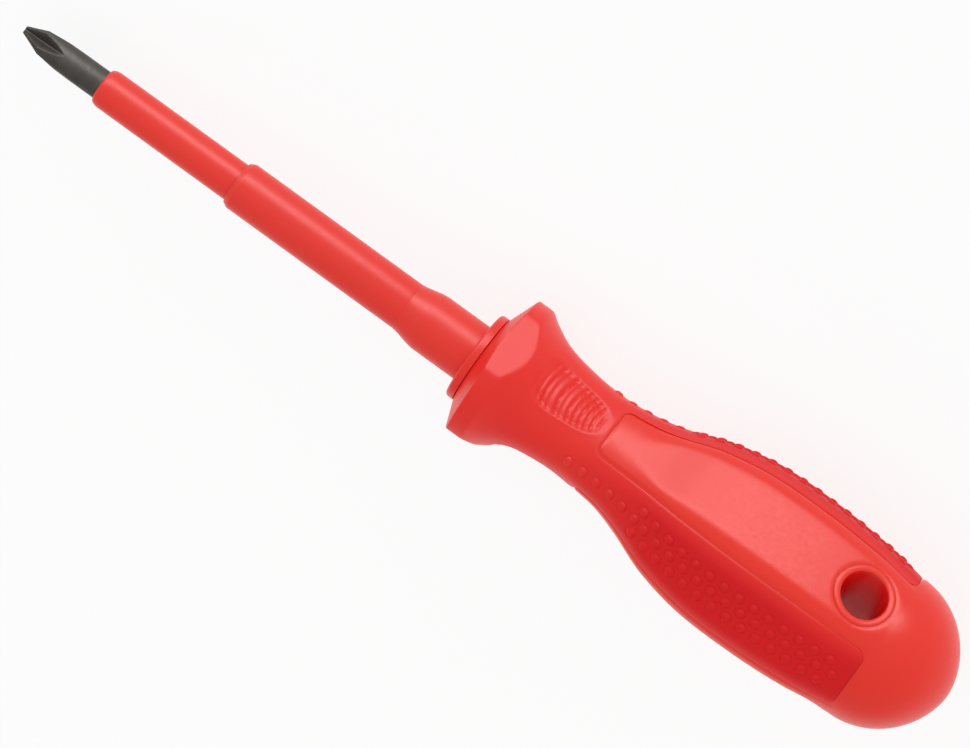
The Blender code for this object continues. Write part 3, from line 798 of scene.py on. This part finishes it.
def build_outer_sleeve(material):
    bore = INNER_SLEEVE_RADIUS + 2 * SEAM
    outline = [
        (OUTER_SLEEVE_START + OUTER_SLEEVE_HOLLOW, bore, 0),
        (OUTER_SLEEVE_START, bore + OUTER_SLEEVE_LIP, 0.00008),
        (OUTER_SLEEVE_START + OUTER_SLEEVE_CHAMFER, OUTER_SLEEVE_RADIUS, 0.00025),
        (SWELL_START - SWELL_LINE_WIDTH, OUTER_SLEEVE_RADIUS, 0),
        (SWELL_START - SWELL_LINE_REAR, OUTER_SLEEVE_RADIUS - SWELL_LINE_DEPTH, 0),
    ]
    for station in np.linspace(SWELL_START, SWELL_END, 17):
        rise = smooth_step(station, SWELL_START - SWELL_EASE, SWELL_END)
        outline.append((station, OUTER_SLEEVE_RADIUS + rise * (SWELL_RADIUS - OUTER_SLEEVE_RADIUS), 0))
    shoulder = COLLAR_FRONT + COLLAR_SEAT - 2 * SEAM
    outline += [
        (shoulder, SWELL_RADIUS, 0),
        (shoulder, OUTER_SLEEVE_RADIUS, 0),
        (OUTER_SLEEVE_END, OUTER_SLEEVE_RADIUS, 0),
        (OUTER_SLEEVE_END, bore, 0),
    ]
    sleeve = turned("outer_sleeve_moulding", outline)
    finish_piece(sleeve, material, "outer_sleeve")


def build_collar(material):
    bore = OUTER_SLEEVE_RADIUS + 2 * SEAM
    seat = SWELL_RADIUS + 2 * SEAM
    outline = [
        (COLLAR_FRONT + COLLAR_SEAT, bore, 0),
        (COLLAR_FRONT + COLLAR_SEAT, seat, 0),
        (COLLAR_FRONT, seat, 0.00012),
        (COLLAR_FRONT, COLLAR_RADIUS, COLLAR_ROUND),
        (COLLAR_REAR, COLLAR_RADIUS, 0.00008),
        (COLLAR_REAR, SPIGOT_RADIUS, 0),
        (SPIGOT_END, SPIGOT_RADIUS, 0),
        (SPIGOT_END, bore, 0),
    ]
    collar = turned("nose_collar_moulding", outline)
    finish_piece(collar, material, "nose_collar")


# ---- handle ---------------------------------------------------------------------------------
def pad_outline(grow):
    """Outline of one hard face seen square on, open towards the butt."""
    front = FACE_START - grow
    corner = FACE_CORNER + grow
    end = TONGUE_END - grow + PAD_OVERLAP
    side = []

    def half_width(station):
        return float(lobe_radius(np.array(station))) * math.sin(FACE_HALF_ANGLE) + grow

    for t in np.linspace(0, math.pi / 2, 10):
        width = half_width(front + corner) - corner * (1 - math.sin(t))
        side.append((front + corner * (1 - math.cos(t)), width))
    for station in np.linspace(front + corner, end - TONGUE_CORNER, 60)[1:]:
        side.append((station, half_width(station)))
    last = side[-1][1]
    for t in np.linspace(0, math.pi / 2, 10)[1:]:
        station = end - TONGUE_CORNER + TONGUE_CORNER * math.sin(t)
        side.append((station, last + TONGUE_CORNER * (1 - math.cos(t))))
    side.append((TONGUE_END + 2 * PAST_TONGUES, side[-1][1]))
    return side + [(station, -width) for station, width in reversed(side)]


def pads(name, grow):
    cutters = [
        prism(f"{name}_{n}", pad_outline(grow), PAD_BOTTOM, FAR, angle)
        for n, angle in enumerate(FACE_ANGLES)
    ]
    start = SHORT_TONGUE_END - grow
    corner = EYE_BACK_CORNER
    arc = [
        (start + corner * (1 - math.cos(t)), EYE_BACK_HALF_WIDTH - corner * (1 - math.sin(t)))
        for t in np.linspace(0, math.pi / 2, 8)
    ]
    half = [*arc, (TONGUE_END + 1.5 * PAST_TONGUES, EYE_BACK_HALF_WIDTH)]
    outline = half + [(s, -w) for s, w in reversed(half)]
    back = EYE_ANGLE + math.pi
    cutters.append(prism(name + "_back", outline, EYE_BACK_BOTTOM, FAR + 0.001, back))
    return cutters


def inner_body(name, start, end, depth):
    """The hard body under the soft layer."""
    def radius(station, angle):
        return section_radius(station, angle) - depth
    return loft(name, stations_between((start, 0), (end, 0.001)), angles_with(2.5, 2.5), radius)


def drum(name, start, end, radius):
    return turned(name, [(start, radius, 0), (end, radius, 0)], closed=False, segments=96)


def build_soft_grip(material):
    stations = stations_between(
        (COLLAR_REAR + SEAM, 0), (0.1148, 0.00016), (0.1340, 0.00022), (TONGUE_END - SEAM, 0.00030)
    )
    grip = loft("soft_grip_moulding", stations, angles_with(0.75, 1.25, 26), soft_radius)
    cutters = [
        drum("grip_bore", COLLAR_FRONT, SHELL_FRONT + 0.001, SPIGOT_RADIUS + 2 * SEAM),
        inner_body(
            "shell_in_grip", SHELL_FRONT + 2 * SEAM, TONGUE_END + PAST_TONGUES, SOFT_THICKNESS - SEAM
        ),
    ]
    apply_cuts(grip, cutters + pads("pad_space", SEAM))
    finish_piece(grip, material, "soft_grip")


def build_shell(material):
    dome = TOTAL_LENGTH - DOME_START
    rings = [DOME_START + dome * math.sin(t) for t in np.linspace(0, math.pi / 2, 70)[1:-1]]
    stations = stations_between((SHELL_FRONT + 3 * SEAM, 0), (0.1400, 0.00020), (DOME_START, 0.00034))
    stations = np.append(stations, rings)
    shell = loft("handle_shell_moulding", stations, angles_with(1.6, 0.9, 32), shell_radius)
    soft = drum("soft_space", COLLAR_FRONT, TONGUE_END, FAR)
    floor = inner_body("tongue_floor", SHELL_FRONT, TONGUE_END + PAST_TONGUES, SOFT_THICKNESS)
    apply_cuts(soft, [*pads("pad", 0), floor])
    apply_cuts(shell, [soft, eye_cylinder("eye_space", EYE_RING_RADIUS + SEAM)])
    finish_piece(shell, material, "handle_shell")


def build_eye(material):
    reach = EYE_RING_RADIUS + 0.001
    stations = stations_between((EYE_STATION - reach, 0), (EYE_STATION + reach, 0.00018))
    eye = loft("hang_eye_moulding", stations, angles_with(1.0, 1.0), eye_radius)
    apply_cuts(eye, [eye_cylinder("eye_outside", EYE_RING_RADIUS)], "INTERSECT")
    apply_cuts(eye, [eye_cylinder("eye_hole", EYE_HOLE_RADIUS)])
    finish_piece(eye, material, "hang_eye")


# ---- studio ---------------------------------------------------------------------------------
WORLD_BRIGHT_SIDE = 1.02  # towards -Y
WORLD_DIM_SIDE = 0.58
FLOOR_HALF_SIZE = 12.0
FLOOR_DROP = 0.0002  # keeps the sheet just under the tool
BELLY_SEARCH = (0.150, 0.205)  # where the handle can touch the floor


def build_floor():
    """Large pale sheet that the tool rests on, by the guard's lowest flat and the belly."""
    rest = RIM_START
    height = AXIS_HEIGHT - GUARD_FLAT_HEIGHT
    stations = np.linspace(*BELLY_SEARCH, 200)
    under = AXIS_HEIGHT - section_radius(stations, np.full(200, FACE_ANGLES[2]))
    slope = float(np.min((under - height) / (stations - rest)))
    size = FLOOR_HALF_SIZE
    x_rest = HALF_LENGTH - rest
    corners = []
    for x, y in ((-size, -size), (size, -size), (size, size), (-size, size)):
        corners.append((x, y, height - slope * (x - x_rest) - FLOOR_DROP))
    floor = new_object("studio_floor", corners, [(0, 1, 2, 3)])
    floor.data.materials.append(pale_floor())


def softbox(name, elevation, azimuth, distance, width, height, radiance):
    """Panel facing the tool, seen only in its gloss. Azimuth 0 is on the -Y side, in degrees."""
    e, a = math.radians(elevation), math.radians(azimuth)
    direction = Vector((math.sin(a) * math.cos(e), -math.cos(a) * math.cos(e), math.sin(e)))
    data = bpy.data.lights.new(name, "AREA")
    data.shape = "RECTANGLE"
    data.size = width
    data.size_y = height
    data.energy = radiance * math.pi * width * height
    data.use_shadow = False
    lamp = bpy.data.objects.new(name, data)
    lamp.location = Vector((0, 0, AXIS_HEIGHT)) + direction * distance
    lamp.rotation_euler = direction.to_track_quat("Z", "Y").to_euler()
    lamp.visible_diffuse = False
    bpy.context.scene.collection.objects.link(lamp)


def build_studio():
    scene = bpy.context.scene
    scene.view_settings.view_transform = "Standard"
    world = bpy.data.worlds.new("studio_world")
    world.use_nodes = True
    background = world.node_tree.nodes["Background"]
    background.inputs["Color"].default_value = (1, 1, 1, 1)
    tree = world.node_tree
    direction = tree.nodes.new("ShaderNodeTexCoord")
    split = tree.nodes.new("ShaderNodeSeparateXYZ")
    fall = tree.nodes.new("ShaderNodeMapRange")
    fall.inputs["From Min"].default_value = -1
    fall.inputs["From Max"].default_value = 1
    fall.inputs["To Min"].default_value = WORLD_BRIGHT_SIDE
    fall.inputs["To Max"].default_value = WORLD_DIM_SIDE
    tree.links.new(direction.outputs["Generated"], split.inputs[0])
    tree.links.new(split.outputs["Y"], fall.inputs["Value"])
    tree.links.new(fall.outputs["Result"], background.inputs["Strength"])
    scene.world = world
    softbox("side_softbox", 9, 24, distance=1.0, width=1.45, height=0.50, radiance=5.2)
    build_floor()


def main():
    make_camera()
    sleeve = moulded_plastic("sleeve_plastic", (0.88, 0.033, 0.019), (0.85, 0.030, 0.017), 0.37)
    collar = moulded_plastic("collar_plastic", (0.88, 0.026, 0.013), (0.85, 0.024, 0.012), 0.36)
    shell = moulded_plastic("shell_plastic", (0.88, 0.024, 0.010), (0.85, 0.022, 0.009), 0.35)
    # the ring's second colour is painted shade down the hanging hole
    ring = ring_plastic("eye_plastic", (0.87, 0.024, 0.010), (0.89, 0.011, 0.010))
    core = moulded_plastic("core_plastic", (0.55, 0.030, 0.022), (0.50, 0.026, 0.020), 0.45)
    rubber = soft_rubber(
        "soft_rubber", (0.88, 0.021, 0.013), (0.85, 0.019, 0.012), (0.75, 0.006, 0.009), (0.72, 0.005, 0.008)
    )
    build_blade()
    build_inner_sleeve(sleeve)
    build_outer_sleeve(sleeve)
    build_collar(collar)
    build_soft_grip(rubber)
    build_shell(shell)
    build_eye(ring)
    core_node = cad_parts["handle_core"]
    core_node.data.materials.clear()
    core_node.data.materials.append(core)
    build_studio()


main()
bpy.context.view_layer.update()
